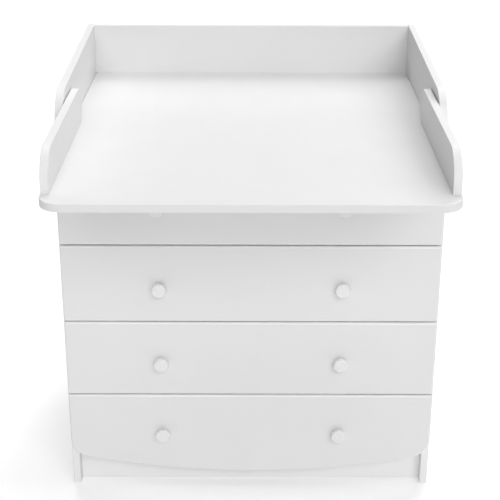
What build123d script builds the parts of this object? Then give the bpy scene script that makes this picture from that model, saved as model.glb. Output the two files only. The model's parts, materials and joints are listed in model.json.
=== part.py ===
from build123d import *
import os

# White chest of drawers with a fixed changing top, drawn as flat-pack furniture: melamine-faced
# panels held by confirmat screws and dowels, four overlay drawers on wooden runner strips.
# Millimetres. +X is the right of someone facing the chest, -Y its front, +Z up. The origin lies on
# the floor, in the middle of the whole outline, overhanging changing board included.

# ---------------------------------------------------------------- driving dimensions
WIDTH = 800.0                # chest, outside the side panels
PANEL = 16.0                 # melamine-faced chipboard
HDF = 3.0                    # hardboard for the back and the drawer bottoms
CHEST_DEPTH = 590.0          # drawer faces to the back
OVERHANG = 310.0             # changing board in front of the drawer faces
BOARD_TOP = 812.0            # surface the changing mat lies on
GLIDE = 2.0                  # nail-on floor glides
REVEAL = 2.0                 # air between drawer fronts and side panels, and beside the board rails
EDGE = 1.2                   # softened edges of the panels
FRONT_EDGE = 4.5             # rounder edges of the drawer faces

# ---------------------------------------------------------------- places that follow
total_depth = CHEST_DEPTH + OVERHANG
y_tip = -total_depth / 2                 # front edge of the changing board
y_face = y_tip + OVERHANG                # faces of the drawer fronts
y_inner = y_face + PANEL                 # backs of the drawer fronts
y_side = y_inner + REVEAL                # front edges of the side panels
y_back = total_depth / 2
y_hdf = y_back - HDF
x_out = WIDTH / 2
x_in = x_out - PANEL
x_mid = x_out - PANEL / 2
z_top = BOARD_TOP - PANEL                # upper face of the chest's own top panel
z_under = z_top - PANEL

# plinth and bottom panel
PLINTH_SETBACK = 40.0
PLINTH_TOP = 98.0
y_plinth = y_face + PLINTH_SETBACK
z_floor_panel = PLINTH_TOP + PANEL

# gallery: the fixed rails round the back half of the top
GALLERY_START = 28.0         # its front ends, behind the drawer faces
GALLERY_FRONT_H = 96.0       # heights above the changing board
GALLERY_REAR_H = 118.0
GALLERY_BACK_H = 116.5
GALLERY_R = 80.0             # big rounding of the front ends
GALLERY_INSET = 2.5          # its sides stand this far in from the ends of the top panel
y_gallery = y_face + GALLERY_START
gallery_out = x_out - GALLERY_INSET
gallery_in = gallery_out - PANEL
gallery_dowel_x = (x_in + gallery_out) / 2

# changing board and its own two side rails
BOARD_CORNER = 43.0
RAIL_SETBACK = 47.5          # rails start behind the board's front edge
RAIL_H = 78.0
RAIL_FRONT_R = 60.0
RAIL_END = 191.0             # half-round rear end of the rails, behind the drawer faces
BOARD_FIT = 0.3              # air round the board where it drops into the gallery
board_half = gallery_in - BOARD_FIT
y_board_back = y_back - PANEL - BOARD_FIT
rail_out = gallery_in - REVEAL
rail_in = rail_out - PANEL
y_rail = y_tip + RAIL_SETBACK
y_rail_end = y_face + RAIL_END
z_rail = BOARD_TOP + RAIL_H

# drawer fronts, from the top one down
DRAWERS = 4
GAP = 3.0                    # between two fronts
FRONT_H = 174.5
TOP_FRONT_H = 178.5
FRONT_W = 797.0
ARCH_BOTTOM = 46.5           # lowest point of the curved bottom edge
ARCH_R = 1850.0
ARCH_CORNER = 45.0
KNOB_SPACING = 386.0
KNOB_DROP = 96.0             # knob centres below the top edge of a front

# drawer boxes
BOX_SIDE = 16.0
BOX_LENGTH = 520.0
BOX_H = 125.0
LOW_BOX_H = 105.0
BOX_LIFT = 18.0              # box above the lower edge of its front
SIDE_AIR = 3.5               # between a box and the side panel
BOTTOM_UP = 10.0             # hardboard bottom above the lower edge of the box
BOTTOM_IN = 6.0              # depth of the groove that holds it
RUNNER_T = 10.0
RUNNER_H = 17.0
RUNNER_LENGTH = 540.0
GROOVE_SLACK = 0.5
box_out = x_in - SIDE_AIR
box_in = box_out - BOX_SIDE
y_box_end = y_inner + BOX_LENGTH

# fixings
SCREW_R = 2.5
SCREW_HEAD_R = 4.8
SCREW_HEAD = 3.0
DOWEL_R = 4.0
FIT = 0.05
CAP_R = 6.0
CAP_T = 0.8

SIDES = {"left": -1, "right": 1}


# ---------------------------------------------------------------- small helpers
def slab(x0, x1, y0, y1, z0, z1):
    """A plain board between two corners."""
    size = (x1 - x0, y1 - y0, z1 - z0)
    centre = ((x0 + x1) / 2, (y0 + y1) / 2, (z0 + z1) / 2)
    return Pos(*centre) * Box(*size)


def rod(start, direction, length, radius):
    """A cylinder that starts at a point and runs along a direction."""
    plane = Plane(origin=start, z_dir=direction)
    return extrude(plane * Circle(radius), amount=length)


def screw(start, direction, length, head_r=SCREW_HEAD_R, shank_r=SCREW_R):
    """A countersunk screw whose head begins at start, flush with the surface it goes into."""
    head = rod(start, direction, SCREW_HEAD, head_r)
    return head + rod(start, direction, length, shank_r)


def screw_hole(start, direction, length):
    """The hole that a screw sits in."""
    return screw(start, direction, length, SCREW_HEAD_R + FIT, SCREW_R + FIT)


def soften(part, radius=EDGE):
    """Rounds every long edge of a plain panel a little."""
    return fillet(part.edges(), radius)


def cut_all(part, tools):
    for tool in tools:
        part = part - tool
    return part


def save(name, *solids):
    """Writes one node; a group of like pieces stays a group of separate solids."""
    shape = solids[0] if len(solids) == 1 else Compound(children=list(solids))
    shape.label = name
    export_step(shape, f"parts/{name}.step")


def both(make):
    """The same piece on the left and on the right."""
    return [make(sign) for sign in SIDES.values()]


# ---------------------------------------------------------------- where the fixings go
def carcass_screw_spots(sign):
    """Screws through a side panel into the bottom panel and the two plinths."""
    x = sign * x_out
    bottom = [(x, y, PLINTH_TOP + PANEL / 2) for y in (y_side + 40, 160.0, y_hdf - 45)]
    plinths = [(x, y, z) for y in (y_plinth + PANEL / 2, y_hdf - PANEL / 2) for z in (32.0, 74.0)]
    return bottom + plinths


def gallery_screw_spots(sign):
    """Screws through a gallery side into the end of the gallery back."""
    return [(sign * gallery_out, y_back - PANEL / 2, BOARD_TOP + z) for z in (28.0, 84.0)]


def link_screw_spots(sign):
    """Screws through a gallery side and a washer into the board's own rail, where the two overlap."""
    places = (y_gallery + 45, y_rail_end - 50)
    return [(sign * gallery_out, y, BOARD_TOP + RAIL_H / 2) for y in places]


def gallery_dowel_spots():
    """Dowels that tie gallery, top panel and side panels together."""
    sides = [(s * gallery_dowel_x, y, 758.0) for s in SIDES.values() for y in (-70.0, 160.0, 390.0)]
    back = [(x, y_back - PANEL / 2, z_under) for x in (-250.0, 0.0, 250.0)]
    return sides + back


def board_screw_spots():
    """Screws up through the top panel into the changing board."""
    return [(x, y, z_under) for x in (-260.0, 0.0, 260.0) for y in (-60.0, 380.0)]


def rail_screw_spots(sign):
    """Screws up through the changing board into its rails."""
    x = sign * (rail_in + PANEL / 2)
    return [(x, y, z_top) for y in (-350.0, -240.0, -130.0, -20.0)]


CARCASS_SCREW = 50.0
LINK_SCREW = 30.0
BOARD_SCREW = 28.0
RAIL_SCREW = 45.0
GALLERY_DOWEL = 70.0


# ---------------------------------------------------------------- carcass
def side_panel(sign):
    x0, x1 = sorted((sign * x_in, sign * x_out))
    panel = soften(slab(x0, x1, y_side, y_hdf, GLIDE, z_under))
    inward = (-sign, 0, 0)
    panel = cut_all(panel, [screw_hole(p, inward, CARCASS_SCREW) for p in carcass_screw_spots(sign)])
    return cut_all(panel, [dowel_hole(p) for p in gallery_dowel_spots()])


def gallery_dowel_length(spot):
    return GALLERY_DOWEL if abs(spot[0]) == gallery_dowel_x else GALLERY_DOWEL / 2


def dowel_hole(spot):
    length = gallery_dowel_length(spot)
    return rod(spot, (0, 0, 1), length, DOWEL_R + FIT)


def gallery_dowel(spot):
    length = gallery_dowel_length(spot)
    return rod(spot, (0, 0, 1), length, DOWEL_R)


def top_panel():
    panel = soften(slab(-x_out, x_out, y_face, y_back, z_under, z_top))
    holes = [screw_hole(p, (0, 0, 1), BOARD_SCREW) for p in board_screw_spots()]
    return cut_all(panel, holes + [dowel_hole(p) for p in gallery_dowel_spots()])


def cross_panel(y0, y1, z0, z1):
    """A panel between the two sides, drilled for the screws that come through them."""
    panel = slab(-x_in, x_in, y0, y1, z0, z1)
    for sign in SIDES.values():
        for spot in carcass_screw_spots(sign):
            if y0 < spot[1] < y1 and z0 < spot[2] < z1:
                panel = panel - screw_hole(spot, (-sign, 0, 0), CARCASS_SCREW)
    return panel


# ---------------------------------------------------------------- gallery
def gallery_side(sign):
    """Highest at the back, falling gently to a front end rounded with a big radius."""
    outline = Polyline(
        (y_gallery, z_top),
        (y_back, z_top),
        (y_back, BOARD_TOP + GALLERY_REAR_H),
        (y_gallery, BOARD_TOP + GALLERY_FRONT_H),
        close=True,
    )
    face = make_face(outline)
    corner = face.vertices().sort_by_distance((y_gallery, BOARD_TOP + GALLERY_FRONT_H))[0]
    face = fillet(corner, GALLERY_R)
    plane = Plane.YZ.offset(min(sign * gallery_in, sign * gallery_out))
    side = soften(extrude(plane * face, amount=PANEL))
    spots = gallery_screw_spots(sign) + link_screw_spots(sign)
    side = cut_all(side, [screw_hole(p, (-sign, 0, 0), CARCASS_SCREW) for p in spots])
    return cut_all(side, [dowel_hole(p) for p in gallery_dowel_spots()])


def gallery_back():
    back = slab(-gallery_in, gallery_in, y_back - PANEL, y_back, z_top, BOARD_TOP + GALLERY_BACK_H)
    back = fillet(back.faces().sort_by(Axis.Z)[-1].edges().filter_by(Axis.X), EDGE)
    for sign in SIDES.values():
        spots = gallery_screw_spots(sign)
        back = cut_all(back, [screw_hole(p, (-sign, 0, 0), CARCASS_SCREW) for p in spots])
    return cut_all(back, [dowel_hole(p) for p in gallery_dowel_spots()])


# ---------------------------------------------------------------- changing board
def changing_board():
    middle = (y_tip + y_board_back) / 2
    outline = Pos(0, middle) * Rectangle(2 * board_half, y_board_back - y_tip)
    outline = fillet(outline.vertices().sort_by(Axis.Y)[:2], BOARD_CORNER)
    board = soften(extrude(Pos(0, 0, z_top) * outline, amount=PANEL))
    holes = [screw_hole(p, (0, 0, 1), BOARD_SCREW) for p in board_screw_spots()]
    for sign in SIDES.values():
        holes += [screw_hole(p, (0, 0, 1), RAIL_SCREW) for p in rail_screw_spots(sign)]
    return cut_all(board, holes)


def board_rail(sign):
    """Stands on the board's edge: rounded front corner, half-round rear end."""
    end_r = RAIL_H / 2
    straight_end = y_rail_end - end_r
    middle = (y_rail + straight_end) / 2
    outline = Pos(middle, BOARD_TOP + end_r) * Rectangle(straight_end - y_rail, RAIL_H)
    corner = outline.vertices().sort_by_distance((y_rail, z_rail))[0]
    outline = fillet(corner, RAIL_FRONT_R) + Pos(straight_end, BOARD_TOP + end_r) * Circle(end_r)
    plane = Plane.YZ.offset(min(sign * rail_in, sign * rail_out))
    rail = extrude(plane * outline, amount=PANEL)
    upper = rail.edges().filter_by(lambda e: e.center().Z > BOARD_TOP + 1 and e.length > PANEL + 1)
    rail = fillet(upper, EDGE)
    rail = cut_all(rail, [screw_hole(p, (0, 0, 1), RAIL_SCREW) for p in rail_screw_spots(sign)])
    return cut_all(rail, [screw_hole(p, (-sign, 0, 0), LINK_SCREW) for p in link_screw_spots(sign)])


def link_washer(spot, sign):
    """Fills the gap between gallery side and rail round a link screw."""
    start = (sign * gallery_in, spot[1], spot[2])
    ring = rod(start, (-sign, 0, 0), REVEAL, 7.0)
    return ring - rod(start, (-sign, 0, 0), REVEAL, SCREW_R + FIT)


# ---------------------------------------------------------------- drawers
def front_top(index):
    """Upper edge of a drawer front, counted from 0 at the top."""
    first = z_under - GAP
    if index == 0:
        return first
    return first - TOP_FRONT_H - GAP - (index - 1) * (FRONT_H + GAP)


def box_bottom(index):
    if index == DRAWERS - 1:
        return z_floor_panel + 8.0
    height = TOP_FRONT_H if index == 0 else FRONT_H
    return front_top(index) - height + BOX_LIFT


def box_height(index):
    return LOW_BOX_H if index == DRAWERS - 1 else BOX_H


def runner_middle(index):
    return box_bottom(index) + box_height(index) / 2


def knob_spots(index):
    return [(s * KNOB_SPACING / 2, y_face, front_top(index) - KNOB_DROP) for s in SIDES.values()]


def front_dowel_spots(index):
    low = box_bottom(index)
    levels = (low + 28.0, low + box_height(index) - 18.0)
    x = (box_in + box_out) / 2
    return [(s * x, y_inner - 11.0, z) for s in SIDES.values() for z in levels]


def box_screw_spots(index, sign):
    low = box_bottom(index)
    levels = (low + 32.0, low + box_height(index) - 18.0)
    return [(sign * box_out, y_box_end - BOX_SIDE / 2, z) for z in levels]


def plain_outline(index):
    height = TOP_FRONT_H if index == 0 else FRONT_H
    middle = front_top(index) - height / 2
    return Pos(0, middle) * Rectangle(FRONT_W, height)


def arched_outline(index):
    """The lowest front: its bottom edge is a flat arch, round at both corners."""
    half = FRONT_W / 2
    top = front_top(index)
    end = ARCH_BOTTOM + ARCH_R - (ARCH_R**2 - half**2) ** 0.5
    edges = Polyline((-half, end), (-half, top), (half, top), (half, end))
    edges += ThreePointArc((half, end), (0, ARCH_BOTTOM), (-half, end))
    face = make_face(edges)
    return fillet(face.vertices().sort_by(Axis.Y)[:2], ARCH_CORNER)


def bottom_board(index):
    low = box_bottom(index) + BOTTOM_UP
    half = box_in + BOTTOM_IN
    return slab(-half, half, y_inner - BOTTOM_IN, y_box_end, low, low + HDF)


def drawer_front(index):
    outline = arched_outline(index) if index == DRAWERS - 1 else plain_outline(index)
    front = extrude(Plane.XZ.offset(-y_inner) * outline, amount=PANEL)
    front = fillet(front.faces().sort_by(Axis.Y)[0].edges(), FRONT_EDGE)
    front = front - bottom_board(index)
    for x, y, z in knob_spots(index):
        front = front - rod((x, y, z), (0, 1, 0), PANEL, 2.3)
    holes = [rod(p, (0, 1, 0), 30.0, DOWEL_R + FIT) for p in front_dowel_spots(index)]
    return cut_all(front, holes)


def box_side(index, sign):
    low = box_bottom(index)
    x0, x1 = sorted((sign * box_in, sign * box_out))
    side = slab(x0, x1, y_inner, y_box_end, low, low + box_height(index))
    side = fillet(side.faces().sort_by(Axis.Z)[-1].edges().filter_by(Axis.Y), EDGE)
    depth = RUNNER_T - SIDE_AIR + GROOVE_SLACK
    g0, g1 = sorted((sign * (box_out - depth), sign * (box_out + 1)))
    half = RUNNER_H / 2 + GROOVE_SLACK
    middle = runner_middle(index)
    side = side - slab(g0, g1, y_inner - 1, y_box_end + 1, middle - half, middle + half)
    side = side - bottom_board(index)
    holes = [rod(p, (0, 1, 0), 30.0, DOWEL_R + FIT) for p in front_dowel_spots(index)]
    spots = box_screw_spots(index, sign)
    return cut_all(side, holes + [screw_hole(p, (-sign, 0, 0), CARCASS_SCREW) for p in spots])


def box_back(index):
    low = box_bottom(index)
    y0 = y_box_end - BOX_SIDE
    back = slab(-box_in, box_in, y0, y_box_end, low + BOTTOM_UP + HDF, low + box_height(index))
    for sign in SIDES.values():
        spots = box_screw_spots(index, sign)
        back = cut_all(back, [screw_hole(p, (-sign, 0, 0), CARCASS_SCREW) for p in spots])
    return back


def knob(spot):
    """Low turned mushroom knob: short neck, undercut head, rounded rim and a nearly flat face."""
    x, y, z = spot
    head_r, face_r, neck_r, foot_r = 16.2, 13.6, 7.0, 8.5
    reach, rim, neck_end = 18.0, 11.0, 4.5
    outline = Polyline((0, 0), (foot_r, 0), (foot_r, 1.2), (neck_r, 2.6), (neck_r, neck_end))
    outline += Spline((neck_r, neck_end), (11.8, 6.8), (head_r, rim), tangents=[(0.3, 1), (0.1, 1)])
    outline += Spline((head_r, rim), (15.7, 15.0), (face_r, reach), tangents=[(0, 1), (-1, 0.15)])
    outline += Polyline((face_r, reach), (0, reach), (0, 0))
    profile = make_face(outline)
    body = revolve(Plane.XY * profile, Axis.Y)
    body = Pos(x, y, z) * (Rot(180, 0, 0) * body)
    return body - rod((x, y, z), (0, -1, 0), 14.0, 2.0 + FIT)


def knob_screw(spot):
    x, y, z = spot
    head = rod((x, y_inner, z), (0, 1, 0), 2.6, 4.0)
    return head + rod((x, y_inner, z), (0, -1, 0), PANEL + 12.0, 2.0)


def runner(index, sign):
    """Hardwood strip on the side panel that runs in the groove of the box side."""
    x0, x1 = sorted((sign * (x_in - RUNNER_T), sign * x_in))
    y0 = y_side + 12.0
    half = RUNNER_H / 2
    middle = runner_middle(index)
    return slab(x0, x1, y0, y0 + RUNNER_LENGTH, middle - half, middle + half)


# ---------------------------------------------------------------- write the nodes
os.makedirs("parts", exist_ok=True)

for name, sign in SIDES.items():
    save(f"side_{name}", side_panel(sign))
    save(f"gallery_{name}", gallery_side(sign))
    save(f"board_rail_{name}", board_rail(sign))

save("top_panel", top_panel())
save("bottom_panel", cross_panel(y_side, y_hdf, PLINTH_TOP, z_floor_panel))
save("plinth_front", cross_panel(y_plinth, y_plinth + PANEL, GLIDE, PLINTH_TOP))
save("plinth_rear", cross_panel(y_hdf - PANEL, y_hdf, GLIDE, PLINTH_TOP))
save("back_panel", slab(-x_out + 1, x_out - 1, y_hdf, y_back, 60.0, z_under))
save("gallery_back", gallery_back())
save("changing_board", changing_board())

glide_spots = [(s * x_mid, y, 0) for s in SIDES.values() for y in (y_side + 24, y_hdf - 24)]
save("floor_glides", *[rod(p, (0, 0, 1), GLIDE, 7.0) for p in glide_spots])

carcass_screws = []
screw_caps = []
link_screws = []
link_washers = []
board_screws = []
for sign in SIDES.values():
    inward = (-sign, 0, 0)
    outward = (sign, 0, 0)
    long_spots = carcass_screw_spots(sign) + gallery_screw_spots(sign)
    carcass_screws += [screw(p, inward, CARCASS_SCREW) for p in long_spots]
    link_screws += [screw(p, inward, LINK_SCREW) for p in link_screw_spots(sign)]
    screw_caps += [rod(p, outward, CAP_T, CAP_R) for p in long_spots + link_screw_spots(sign)]
    link_washers += [link_washer(p, sign) for p in link_screw_spots(sign)]
    board_screws += [screw(p, (0, 0, 1), RAIL_SCREW) for p in rail_screw_spots(sign)]
save("carcass_screws", *carcass_screws)
save("screw_caps", *screw_caps)
save("link_screws", *link_screws)
save("link_washers", *link_washers)
board_screws += [screw(p, (0, 0, 1), BOARD_SCREW) for p in board_screw_spots()]
save("board_screws", *board_screws)
save("gallery_dowels", *[gallery_dowel(p) for p in gallery_dowel_spots()])

for index in range(DRAWERS):
    number = index + 1
    for name, sign in SIDES.items():
        save(f"runner_{number}_{name}", runner(index, sign))
        save(f"drawer_{number}_side_{name}", box_side(index, sign))
    save(f"drawer_{number}_front", drawer_front(index))
    save(f"drawer_{number}_back", box_back(index))
    save(f"drawer_{number}_bottom", bottom_board(index))
    save(f"drawer_{number}_knobs", *[knob(p) for p in knob_spots(index)])
    screws = [knob_screw(p) for p in knob_spots(index)]
    for sign in SIDES.values():
        screws += [screw(p, (-sign, 0, 0), CARCASS_SCREW) for p in box_screw_spots(index, sign)]
    save(f"drawer_{number}_screws", *screws)
    dowels = [rod(p, (0, 1, 0), 30.0, DOWEL_R) for p in front_dowel_spots(index)]
    save(f"drawer_{number}_dowels", *dowels)
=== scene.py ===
import json
import math

import bmesh
import bpy
from mathutils import Matrix, Vector


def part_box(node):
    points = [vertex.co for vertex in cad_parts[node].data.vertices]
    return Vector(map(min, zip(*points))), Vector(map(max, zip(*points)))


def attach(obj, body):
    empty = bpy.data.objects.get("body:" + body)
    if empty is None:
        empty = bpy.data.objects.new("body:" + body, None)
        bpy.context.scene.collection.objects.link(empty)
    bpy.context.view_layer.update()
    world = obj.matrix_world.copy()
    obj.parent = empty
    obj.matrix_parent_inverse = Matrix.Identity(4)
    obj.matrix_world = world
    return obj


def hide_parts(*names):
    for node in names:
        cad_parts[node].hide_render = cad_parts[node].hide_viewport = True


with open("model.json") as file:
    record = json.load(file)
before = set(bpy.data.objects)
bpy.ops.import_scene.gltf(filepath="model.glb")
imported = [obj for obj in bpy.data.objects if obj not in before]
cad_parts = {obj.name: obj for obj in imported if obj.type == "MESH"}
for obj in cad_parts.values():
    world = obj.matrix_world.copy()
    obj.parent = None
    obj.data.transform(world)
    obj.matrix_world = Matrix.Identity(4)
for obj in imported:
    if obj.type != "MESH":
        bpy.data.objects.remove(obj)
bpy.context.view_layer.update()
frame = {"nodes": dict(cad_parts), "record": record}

nodes = frame["nodes"]
MM = 0.001

# ---------------------------------------------------------------- driving values
LENS = 84.5                    # millimetres
SENSOR = 36.0                  # millimetres
SHIFT_UP = -0.1                # of the picture's width; negative moves the view down
VIEW_ENDS = 200.0              # metres from the camera
CAMERA_AT = Vector((0.0001, -2.3728, 1.5741))   # metres
CAMERA_PITCH = 21.39           # degrees downwards
CAMERA_YAW = 0.05              # degrees
CAMERA_ROLL = 0.10             # degrees
FLOOR_SIZE = 60.0              # metres
PAPER_MOTTLE = 0.005           # the floor is this much lighter and darker in places
WHITE = 0.76                   # reflectance of the white fronts, sides and rails
LIT_BOARD_WHITE = 0.785            # the lying and cross boards, painted a little brighter: painted light for the stronger light they catch
PLINTH_WHITE_PAINTED_LIGHT = 0.84            # the front plinth, painted lighter: painted light lifting the shade it stands in
BAND_PAINTED_LIT = 0.81             # edge bands of rails, gallery and side panels, painted lighter: painted light
BAND_PAINTED_SHADE = 0.74               # edge bands of the lying boards, painted darker: painted shade
IOR = 1.5                      # the same for every finish
NOISE_LOW, NOISE_HIGH = 0.3, 0.7   # nearly all of a noise texture lies between these
DRAWERS = 4
SUN_WIDTH = 28.0               # degrees; wide suns give the soft shadows of a light tent
SUNS = {                       # name: (azimuth from the front towards the right, elevation, strength)
    "front_low": (0.0, 10.0, 0.48),
    "front": (0.0, 35.0, 0.66),
    "front_right": (30.0, 35.0, 0.71),
    "right": (90.0, 35.0, 0.575),
    "back_right": (150.0, 35.0, 1.01),
    "back_left": (-150.0, 35.0, 0.405),
    "left_high": (-60.0, 62.0, 0.384),
    "right_high": (60.0, 62.0, 0.276),
    "back_high": (180.0, 62.0, 1.08),
}
DOME = 0.01                    # the faint light from all round
BOUNCE_GLOW = 0.416            # floor as it lights the chest
BOUNCE_DIFFUSE = 0.50
SEEN_GLOW = 0.22               # floor as it is seen: near white, with faint contact shadows
SEEN_DIFFUSE = 0.85

# turned knob, millimetres: radius and distance from the drawer face, foot first
KNOB_PROFILE = [
    (8.5, 0.0), (8.5, 0.8), (8.1, 1.4), (7.3, 2.2), (7.0, 3.0), (7.0, 4.4), (7.3, 5.0), (8.8, 5.7),
    (11.0, 6.5), (13.3, 7.5), (14.9, 8.7), (15.8, 10.0), (16.2, 11.0), (16.15, 12.2), (16.0, 13.6),
    (15.6, 15.0), (15.0, 16.2), (14.2, 17.1), (13.0, 17.6), (10.8, 17.85), (6.0, 17.97), (3.0, 18.0),
    (0.0, 18.0),
]
KNOB_SEGMENTS = 72             # around the axis


# ---------------------------------------------------------------- node tree helpers
class Tree:
    """A small builder for shader node trees: numbers and sockets go in, sockets come out."""

    def __init__(self, owner):
        owner.use_nodes = True
        self.tree = owner.node_tree
        self.tree.nodes.clear()

    def node(self, kind, **settings):
        made = self.tree.nodes.new(kind)
        for key, value in settings.items():
            setattr(made, key, value)
        return made

    def put(self, socket, value):
        if isinstance(value, bpy.types.NodeSocket):
            self.tree.links.new(value, socket)
        else:
            socket.default_value = value

    def math(self, operation, a, b=0.0):
        made = self.node("ShaderNodeMath", operation=operation)
        self.put(made.inputs[0], a)
        self.put(made.inputs[1], b)
        return made.outputs[0]

    def times(self, a, b):
        return self.math("MULTIPLY", a, b)

    def plus(self, a, b):
        return self.math("ADD", a, b)

    def one_minus(self, value):
        return self.math("SUBTRACT", 1.0, value)

    def ramp(self, value, start, full, low=0.0, high=1.0):
        """Low where the value is at start, high where it is full, a smooth rise between."""
        made = self.node("ShaderNodeMapRange", interpolation_type="SMOOTHSTEP")
        self.put(made.inputs["Value"], value)
        made.inputs["From Min"].default_value = start
        made.inputs["From Max"].default_value = full
        made.inputs["To Min"].default_value = low
        made.inputs["To Max"].default_value = high
        return made.outputs["Result"]

    def spread(self, noise, low=0.0, high=1.0):
        """Stretches a noise texture over the whole range from low to high."""
        return self.ramp(noise, NOISE_LOW, NOISE_HIGH, low, high)

    def mix(self, factor, a, b):
        made = self.node("ShaderNodeMix", data_type="RGBA")
        self.put(made.inputs["Factor"], factor)
        self.put(made.inputs["A"], a)
        self.put(made.inputs["B"], b)
        return made.outputs["Result"]

    def place(self, stretch=(1.0, 1.0, 1.0)):
        """Object coordinates in metres; every CAD object sits at the origin."""
        coords = self.node("ShaderNodeTexCoord")
        made = self.node("ShaderNodeMapping")
        made.inputs["Scale"].default_value = stretch
        self.put(made.inputs["Vector"], coords.outputs["Object"])
        return made.outputs["Vector"]

    def noise(self, vector, per_metre, detail=3.0, roughness=0.5, distortion=0.0):
        made = self.node("ShaderNodeTexNoise")
        self.put(made.inputs["Vector"], vector)
        made.inputs["Scale"].default_value = per_metre
        made.inputs["Detail"].default_value = detail
        made.inputs["Roughness"].default_value = roughness
        made.inputs["Distortion"].default_value = distortion
        return made.outputs["Fac"]

    def cells(self, vector, per_metre):
        made = self.node("ShaderNodeTexVoronoi", feature="SMOOTH_F1")
        self.put(made.inputs["Vector"], vector)
        made.inputs["Scale"].default_value = per_metre
        return made.outputs["Distance"]

    def bump(self, height, depth, strength):
        """Relief in the surface; the depth is in metres."""
        made = self.node("ShaderNodeBump")
        made.inputs["Strength"].default_value = strength
        made.inputs["Distance"].default_value = depth
        self.put(made.inputs["Height"], height)
        return made.outputs["Normal"]

    def facing(self, axis):
        """How squarely the surface faces along one of the object's axes, from 0 to 1."""
        coords = self.node("ShaderNodeTexCoord")
        parts = self.node("ShaderNodeSeparateXYZ")
        self.put(parts.inputs["Vector"], coords.outputs["Normal"])
        return self.math("ABSOLUTE", parts.outputs[axis])

    def surface(self, colour, roughness, normal, metallic=0.0, coat=0.0):
        shader = self.node("ShaderNodeBsdfPrincipled")
        self.put(shader.inputs["Base Color"], colour)
        self.put(shader.inputs["Roughness"], roughness)
        shader.inputs["Metallic"].default_value = metallic
        shader.inputs["IOR"].default_value = IOR
        shader.inputs["Coat Weight"].default_value = coat
        self.put(shader.inputs["Normal"], normal)
        out = self.node("ShaderNodeOutputMaterial")
        self.put(out.inputs["Surface"], shader.outputs["BSDF"])


def grey(level, warmth=0.0):
    """An almost neutral colour; warmth moves it from blue towards red."""
    return (level + warmth, level, level - warmth, 1.0)


# ---------------------------------------------------------------- materials
def melamine(name, thickness_axis, level, band_level_painted_light):
    """Matte white melamine: fine pearl grain, faint clouding, an edge band on its thin sides. The
    white and the band's tone come in per panel kind; the lighter and darker ones are painted light
    and shade.
    """
    shade, highlight = grey(level - 0.008), grey(level + 0.006)
    handled = grey(level - 0.03, 0.002)
    rubbed_off = grey(level - 0.05, 0.004)
    # the edge band's tone is painted light and shade: lighter on upright panels' bands, darker on
    # lying boards'
    band_with_painted_light = grey(band_level_painted_light, -0.001)

    material = bpy.data.materials.new(name)
    tree = Tree(material)
    place = tree.place()
    pearl = tree.cells(place, per_metre=620.0)
    grit = tree.noise(place, per_metre=1500.0, detail=2.0)
    clouds = tree.noise(place, per_metre=7.0, detail=4.0, roughness=0.55)
    handling = tree.noise(place, per_metre=38.0, detail=5.0, roughness=0.62, distortion=0.4)

    squarely = tree.facing(thickness_axis)
    on_band = tree.ramp(squarely, start=0.30, full=0.12)
    on_arris = tree.times(tree.ramp(squarely, start=0.99, full=0.90), tree.one_minus(on_band))
    rubbed = tree.times(on_arris, tree.ramp(handling, start=0.42, full=0.62, low=0.25))

    colour = tree.mix(tree.spread(clouds), shade, highlight)
    colour = tree.mix(tree.ramp(handling, start=0.66, full=0.80, high=0.35), colour, handled)
    colour = tree.mix(on_band, colour, band_with_painted_light)
    colour = tree.mix(tree.times(rubbed, 0.5), colour, rubbed_off)

    roughness = tree.ramp(handling, start=0.3, full=0.75, low=0.40, high=0.50)
    roughness = tree.plus(roughness, tree.times(on_band, 0.10))
    roughness = tree.plus(roughness, tree.times(rubbed, 0.10))

    relief = tree.plus(tree.times(pearl, 0.8), tree.times(grit, 0.35))
    relief = tree.times(relief, tree.one_minus(tree.times(on_band, 0.6)))
    tree.surface(colour, roughness, tree.bump(relief, depth=0.00006, strength=0.55))
    return material


def foiled_front(name):
    """Drawer fronts: foil pressed over routed board, with a painted highlight along the upper and
    lower rim.
    """
    shade, highlight = grey(WHITE - 0.006), grey(WHITE + 0.006)
    handled = grey(WHITE - 0.025, 0.002)
    rubbed_off = grey(WHITE - 0.04, 0.003)
    painted_rim_highlight = grey(WHITE + 0.09)

    material = bpy.data.materials.new(name)
    tree = Tree(material)
    place = tree.place()
    orange_peel = tree.noise(place, per_metre=260.0, detail=2.0, roughness=0.45)
    grain = tree.cells(place, per_metre=800.0)
    clouds = tree.noise(place, per_metre=5.0, detail=4.0)
    hands = tree.noise(place, per_metre=26.0, detail=6.0, roughness=0.6, distortion=0.6)

    rim = tree.ramp(tree.facing("Y"), start=0.985, full=0.80)
    worn = tree.times(rim, tree.ramp(hands, start=0.45, full=0.65, low=0.15, high=0.8))
    colour = tree.mix(tree.spread(clouds), shade, highlight)
    colour = tree.mix(tree.ramp(hands, start=0.64, full=0.80, high=0.3), colour, handled)
    colour = tree.mix(tree.times(worn, 0.25), colour, rubbed_off)
    # painted highlight: the upper and lower rim of each front is painted lighter, as if lit
    rim_highlight_mask = tree.ramp(tree.facing("Z"), start=0.10, full=0.45)
    colour = tree.mix(rim_highlight_mask, colour, painted_rim_highlight)

    roughness = tree.ramp(hands, start=0.3, full=0.75, low=0.34, high=0.46)
    roughness = tree.plus(roughness, tree.times(worn, 0.08))
    relief = tree.plus(orange_peel, tree.times(grain, 0.3))
    tree.surface(colour, roughness, tree.bump(relief, depth=0.00008, strength=0.5))
    return material


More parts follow.
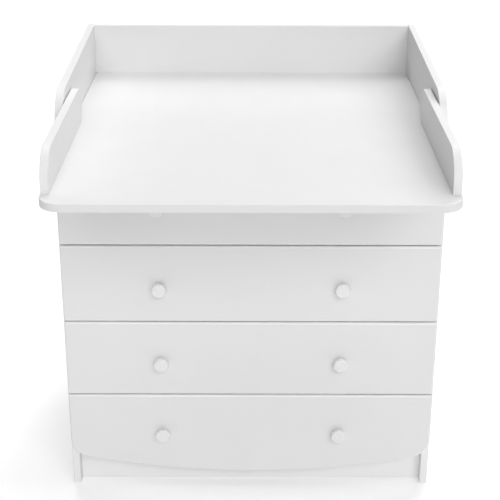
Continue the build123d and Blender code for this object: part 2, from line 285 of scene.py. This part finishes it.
def lacquered_knob(name):
    """Turned wood under satin white lacquer: faint turning rings, an uneven coat, a few specks."""
    thin_coat, thick_coat = grey(WHITE + 0.02), grey(WHITE + 0.04, 0.001)
    speck = grey(WHITE - 0.06, 0.006)

    material = bpy.data.materials.new(name)
    tree = Tree(material)
    place = tree.place()
    drips = tree.noise(place, per_metre=120.0, detail=3.0)
    specks = tree.noise(place, per_metre=900.0, detail=2.0)
    rings = tree.noise(tree.place(stretch=(1.0, 14.0, 1.0)), per_metre=90.0, detail=4.0)
    colour = tree.mix(tree.spread(drips), thin_coat, thick_coat)
    colour = tree.mix(tree.ramp(specks, start=0.66, full=0.74, high=0.25), colour, speck)
    roughness = tree.spread(drips, low=0.26, high=0.36)
    relief = tree.plus(tree.times(drips, 0.6), tree.times(rings, 0.4))
    tree.surface(colour, roughness, tree.bump(relief, depth=0.00010, strength=0.45), coat=0.15)
    return material


def hardboard(name):
    """White-printed hardboard, its thin edges still brown."""
    print_thin, print_thick = grey(0.735, 0.004), grey(0.75, 0.003)
    show_through = grey(0.70, 0.02)
    bare_edge = (0.30, 0.18, 0.095, 1.0)
    thickness_axis = "Y" if name.endswith("_back") else "Z"

    material = bpy.data.materials.new(name)
    tree = Tree(material)
    place = tree.place()
    felt = tree.noise(place, per_metre=420.0, detail=5.0, roughness=0.7)
    clouds = tree.noise(place, per_metre=9.0, detail=4.0)
    at_edge = tree.ramp(tree.facing(thickness_axis), start=0.6, full=0.4)
    colour = tree.mix(tree.spread(clouds), print_thin, print_thick)
    colour = tree.mix(tree.ramp(felt, start=0.6, full=0.75, high=0.3), colour, show_through)
    colour = tree.mix(at_edge, colour, bare_edge)
    roughness = tree.spread(felt, low=0.5, high=0.66)
    tree.surface(colour, roughness, tree.bump(felt, depth=0.00012, strength=0.5))
    return material


def beech(name):
    """Bare planed beech: fine grain along the runner strips, short darker flecks."""
    deep, pale = (0.56, 0.36, 0.205, 1.0), (0.66, 0.45, 0.27, 1.0)
    grain_line = (0.45, 0.27, 0.14, 1.0)
    fleck = (0.33, 0.19, 0.10, 1.0)

    material = bpy.data.materials.new(name)
    tree = Tree(material)
    along = tree.place(stretch=(1.0, 0.06, 1.0))
    grain = tree.noise(along, per_metre=340.0, detail=6.0, roughness=0.6, distortion=0.3)
    bands = tree.noise(along, per_metre=60.0, detail=3.0)
    flecks = tree.noise(tree.place(stretch=(1.0, 0.12, 1.0)), per_metre=900.0, detail=1.0)
    colour = tree.mix(tree.spread(bands), deep, pale)
    colour = tree.mix(tree.ramp(grain, start=0.45, full=0.7, high=0.5), colour, grain_line)
    colour = tree.mix(tree.ramp(flecks, start=0.62, full=0.70, high=0.6), colour, fleck)
    roughness = tree.spread(grain, low=0.48, high=0.62)
    tree.surface(colour, roughness, tree.bump(grain, depth=0.00015, strength=0.6))
    return material


def moulded_plastic(name):
    """Push-in caps, washers and glides: white, softly glossy, faint moulding grain."""
    shade, highlight = grey(WHITE, 0.002), grey(WHITE + 0.03)

    material = bpy.data.materials.new(name)
    tree = Tree(material)
    place = tree.place()
    grain = tree.noise(place, per_metre=1100.0, detail=2.0)
    flow = tree.noise(place, per_metre=70.0, detail=3.0)
    colour = tree.mix(tree.spread(flow), shade, highlight)
    roughness = tree.spread(flow, low=0.30, high=0.42)
    tree.surface(colour, roughness, tree.bump(grain, depth=0.00005, strength=0.5))
    return material


def zinc(name):
    """Bright zinc plating, mottled, with the fine scratches that driving leaves."""
    dull, bright = (0.52, 0.53, 0.56, 1.0), (0.68, 0.69, 0.71, 1.0)

    material = bpy.data.materials.new(name)
    tree = Tree(material)
    mottle = tree.noise(tree.place(), per_metre=300.0, detail=4.0)
    scratches = tree.noise(tree.place(stretch=(1.0, 1.0, 16.0)), per_metre=500.0, detail=3.0)
    colour = tree.mix(tree.spread(mottle), dull, bright)
    roughness = tree.spread(scratches, low=0.26, high=0.44)
    tree.surface(colour, roughness, tree.bump(scratches, depth=0.00003, strength=0.5), metallic=1.0)
    return material


THIN_ALONG = {
    "X": ("side_", "gallery_left", "gallery_right", "board_rail_"),
    "Y": ("plinth_", "_back"),
}


def thin_axis(node):
    """The axis across a panel's thickness; a panel that no mark names lies flat."""
    for axis, marks in THIN_ALONG.items():
        if any(mark in node for mark in marks):
            return axis
    return "Z"


panels = {
    "X": melamine("melamine_x_painted_light", "X", WHITE, BAND_PAINTED_LIT),
    # the lying and cross boards get a lighter white than the upright panels: painted light
    "Y": melamine("melamine_y_painted_light", "Y", LIT_BOARD_WHITE, BAND_PAINTED_LIT),
    "Z": melamine("melamine_z_painted_light", "Z", LIT_BOARD_WHITE, BAND_PAINTED_SHADE),
}
# the plinth's melamine is painted lighter than the same white elsewhere: painted light against the
# shade it stands in
plinth_panel_painted_light = melamine("melamine_plinth_painted_light", "Y", PLINTH_WHITE_PAINTED_LIGHT, PLINTH_WHITE_PAINTED_LIGHT)
others = {
    "front_lacquer": foiled_front("foiled_front"),
    "knob_lacquer": lacquered_knob("lacquered_knob"),
    "beech": beech("beech"),
    "white_plastic": moulded_plastic("white_plastic"),
    "zinc_steel": zinc("zinc"),
}
boards = {"_back": hardboard("hardboard_back"), "_bottom": hardboard("hardboard_bottom")}
slots = {part["node"]: part["material_slot"] for part in frame["record"]["subparts"]}


def finish_for(node):
    """The material of one CAD piece, from its slot and, for panels, the way it lies."""
    slot = slots[node]
    # the plinth takes the lighter white that is painted light
    if node == "plinth_front":
        return plinth_panel_painted_light
    if slot in ("melamine", "box_melamine"):
        return panels[thin_axis(node)]
    if slot == "white_hardboard":
        return boards["_back" if node == "back_panel" else "_bottom"]
    return others[slot]


for node_name, node_object in nodes.items():
    finish = finish_for(node_name)
    for slot_index in range(len(node_object.material_slots)):
        node_object.material_slots[slot_index].material = finish


# ---------------------------------------------------------------- knobs, turned smooth
def turned_mesh(name, spots):
    """One mesh of equal turned knobs whose axes run forwards (-Y) from the given points."""
    shape = bmesh.new()
    for x, y, z in spots:
        rings = []
        for radius, reach in KNOB_PROFILE[:-1]:
            ring = []
            for step in range(KNOB_SEGMENTS):
                turn = 2 * math.pi * step / KNOB_SEGMENTS
                side = radius * MM * math.cos(turn)
                rise = radius * MM * math.sin(turn)
                ring.append(shape.verts.new((x + side, y - reach * MM, z + rise)))
            rings.append(ring)
        tip = shape.verts.new((x, y - KNOB_PROFILE[-1][1] * MM, z))
        for inner, outer in zip(rings, rings[1:]):
            for step in range(KNOB_SEGMENTS):
                after = (step + 1) % KNOB_SEGMENTS
                shape.faces.new((inner[step], inner[after], outer[after], outer[step]))
        for step in range(KNOB_SEGMENTS):
            shape.faces.new((rings[-1][step], rings[-1][(step + 1) % KNOB_SEGMENTS], tip))
        shape.faces.new(list(reversed(rings[0])))
    bmesh.ops.recalc_face_normals(shape, faces=shape.faces)
    for face in shape.faces:
        face.smooth = len(face.verts) < KNOB_SEGMENTS
    mesh = bpy.data.meshes.new(name)
    shape.to_mesh(mesh)
    shape.free()
    return mesh


def smooth_knobs(number):
    """Replaces the two knobs of one drawer, in the places the frame gives them."""
    node = f"drawer_{number}_knobs"
    low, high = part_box(node)
    radius = (high[2] - low[2]) / 2
    middle = (low[2] + high[2]) / 2
    spots = [(low[0] + radius, high[1], middle), (high[0] - radius, high[1], middle)]
    mesh = turned_mesh(f"turned_knobs_{number}", spots)
    mesh.materials.append(others["knob_lacquer"])
    piece = bpy.data.objects.new(f"turned_knobs_{number}", mesh)
    bpy.context.collection.objects.link(piece)
    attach(piece, f"drawer_{number}")
    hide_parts(node)


for drawer_number in range(1, DRAWERS + 1):
    smooth_knobs(drawer_number)


# ---------------------------------------------------------------- floor, light, camera
def paper_layer(tree, fibre, diffuse, glow):
    """Matte paper that also gives off a little light of its own."""
    matte = tree.node("ShaderNodeBsdfDiffuse")
    darker, lighter = grey(diffuse - PAPER_MOTTLE), grey(diffuse + PAPER_MOTTLE)
    tree.put(matte.inputs["Color"], tree.mix(fibre, darker, lighter))
    light = tree.node("ShaderNodeEmission")
    light.inputs["Strength"].default_value = glow
    both = tree.node("ShaderNodeAddShader")
    tree.put(both.inputs[0], matte.outputs[0])
    tree.put(both.inputs[1], light.outputs[0])
    return both.outputs[0]


def floor_paper():
    """White sweep paper. The camera sees it nearly pure white; the chest gets its stronger glow."""
    material = bpy.data.materials.new("floor_paper")
    tree = Tree(material)
    fibre = tree.noise(tree.place(), per_metre=60.0, detail=4.0)
    rays = tree.node("ShaderNodeLightPath")
    blend = tree.node("ShaderNodeMixShader")
    tree.put(blend.inputs[0], rays.outputs["Is Camera Ray"])
    tree.put(blend.inputs[1], paper_layer(tree, fibre, BOUNCE_DIFFUSE, BOUNCE_GLOW))
    tree.put(blend.inputs[2], paper_layer(tree, fibre, SEEN_DIFFUSE, SEEN_GLOW))
    out = tree.node("ShaderNodeOutputMaterial")
    tree.put(out.inputs["Surface"], blend.outputs[0])
    return material


def floor():
    mesh = bpy.data.meshes.new("floor")
    half = FLOOR_SIZE / 2
    corners = [(-half, -half, 0), (half, -half, 0), (half, half, 0), (-half, half, 0)]
    mesh.from_pydata(corners, [], [(0, 1, 2, 3)])
    plane = bpy.data.objects.new("floor", mesh)
    bpy.context.collection.objects.link(plane)
    mesh.materials.append(floor_paper())


def studio_world():
    """Faint light from all round; the camera itself sees plain white behind everything."""
    world = bpy.data.worlds.new("studio")
    bpy.context.scene.world = world
    tree = Tree(world)
    around = tree.node("ShaderNodeBackground")
    around.inputs["Strength"].default_value = DOME
    seen = tree.node("ShaderNodeBackground")
    seen.inputs["Color"].default_value = (1, 1, 1, 1)
    seen.inputs["Strength"].default_value = 1.0
    rays = tree.node("ShaderNodeLightPath")
    blend = tree.node("ShaderNodeMixShader")
    tree.put(blend.inputs[0], rays.outputs["Is Camera Ray"])
    tree.put(blend.inputs[1], around.outputs[0])
    tree.put(blend.inputs[2], seen.outputs[0])
    out = tree.node("ShaderNodeOutputWorld")
    tree.put(out.inputs["Surface"], blend.outputs[0])


def sun(name, azimuth, elevation, strength, softness):
    """A soft distant light that comes from the given direction, in degrees."""
    light = bpy.data.lights.new(name, "SUN")
    light.energy = strength
    light.angle = math.radians(softness)
    lamp = bpy.data.objects.new(name, light)
    bpy.context.collection.objects.link(lamp)
    a, e = math.radians(azimuth), math.radians(elevation)
    towards = Vector((math.sin(a) * math.cos(e), -math.cos(a) * math.cos(e), math.sin(e)))
    lamp.rotation_euler = towards.to_track_quat("Z", "Y").to_euler()


def camera():
    """The photograph's viewpoint. An unturned camera looks straight down, hence the 90 degrees."""
    data = bpy.data.cameras.new("camera")
    data.sensor_width = SENSOR
    data.lens = LENS
    data.shift_y = SHIFT_UP
    data.clip_end = VIEW_ENDS
    eye = bpy.data.objects.new("camera", data)
    bpy.context.collection.objects.link(eye)
    turn = Matrix.Rotation(math.radians(CAMERA_YAW), 4, "Z")
    tilt = Matrix.Rotation(math.radians(90.0 - CAMERA_PITCH), 4, "X")
    roll = Matrix.Rotation(math.radians(CAMERA_ROLL), 4, "Z")
    eye.matrix_world = Matrix.Translation(CAMERA_AT) @ turn @ tilt @ roll
    bpy.context.scene.camera = eye


bpy.context.scene.view_settings.view_transform = "Standard"
floor()
studio_world()
for sun_name, (azimuth, elevation, strength) in SUNS.items():
    sun(sun_name, azimuth, elevation, strength, SUN_WIDTH)
camera()
